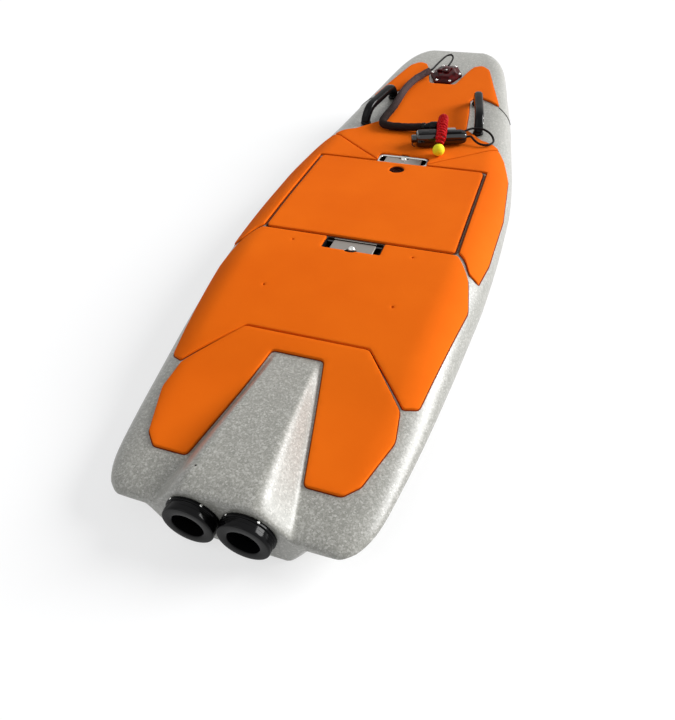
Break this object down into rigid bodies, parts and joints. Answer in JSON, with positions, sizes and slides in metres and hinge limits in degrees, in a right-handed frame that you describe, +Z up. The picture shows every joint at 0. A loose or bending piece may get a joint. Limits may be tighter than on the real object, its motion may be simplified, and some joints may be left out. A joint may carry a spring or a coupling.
{
  "type": "electric surfboard",
  "caption": "Electric surfboard: wide grey hull with twin rear water jets, orange foam deck pads, square battery hatch, two grab handles and a tethered hand control.",
  "frame": {"origin": "middle of the board's length and width, at the flat bottom of the hull", "axes": "+Y towards the bow, +X towards starboard, +Z up"},
  "size_m": [0.606, 1.882, 0.2307],
  "materials": {
    "hull_composite": "speckled grey composite, satin",
    "eva_orange": "matte foam",
    "gloss_black": "gloss",
    "matte_black": "matte",
    "grey_metal": "satin",
    "dark_metal": "dark anodised",
    "tether_red": "gloss",
    "sleeve_fabric": "woven sleeve",
    "leash_red": "matte",
    "ball_yellow": "matte foam",
    "rubber_black": "matte"
  },
  "bodies": {
    "board": {"hull_bottom": "hull_composite", "deck_shell": "hull_composite", "eva_tail": "eva_orange", "eva_mid": "eva_orange", "eva_side_port": "eva_orange", "eva_side_starboard": "eva_orange", "eva_bow": "eva_orange", "hatch_gasket": "rubber_black", "battery": "matte_black", "latch_cup_rear": "matte_black", "latch_cup_front": "matte_black", "pump_tube_port": "dark_metal", "pump_tube_starboard": "dark_metal", "nozzle_ring_port": "gloss_black", "nozzle_ring_starboard": "gloss_black", "intake_grille_port": "dark_metal", "intake_grille_starboard": "dark_metal", "motor_port": "dark_metal", "motor_starboard": "dark_metal", "fin_box_port": "matte_black", "fin_box_starboard": "matte_black", "handle_port": "gloss_black", "handle_starboard": "gloss_black", "tether_plate": "tether_red", "plate_loop": "rubber_black", "tether_sleeve": "sleeve_fabric", "leash_clip": "gloss_black", "handset": "gloss_black", "wrist_loop": "rubber_black", "leash_coil": "leash_red", "leash_ball": "ball_yellow"},
    "hatch": {"hatch_lid": "hull_composite", "eva_hatch": "eva_orange", "hatch_vent": "matte_black"},
    "latch_rear": {"latch_lever_rear": "grey_metal"},
    "latch_front": {"latch_lever_front": "grey_metal"},
    "rotor_port": {"impeller_port": "grey_metal"},
    "rotor_starboard": {"impeller_starboard": "grey_metal"}
  },
  "joints": [
    {"name": "hatch_lift", "type": "slide", "parent": "board", "child": "hatch", "axis": [0, 0, 1], "range_m": [0, 0.25]},
    {"name": "latch_rear_hinge", "type": "hinge", "parent": "board", "child": "latch_rear", "pos_m": [0, -0.24716, 0.14521], "axis": [-1, 0, 0], "range_deg": [0, 90]},
    {"name": "latch_front_hinge", "type": "hinge", "parent": "board", "child": "latch_front", "pos_m": [0, 0.15834, 0.14568], "axis": [1, 0, 0], "range_deg": [0, 90]},
    {"name": "impeller_port_spin", "type": "hinge", "parent": "board", "child": "rotor_port", "pos_m": [-0.047, -0.84, 0.0625], "axis": [0, 1, 0], "continuous": true},
    {"name": "impeller_starboard_spin", "type": "hinge", "parent": "board", "child": "rotor_starboard", "pos_m": [0.047, -0.84, 0.0625], "axis": [0, 1, 0], "continuous": true}
  ]
}
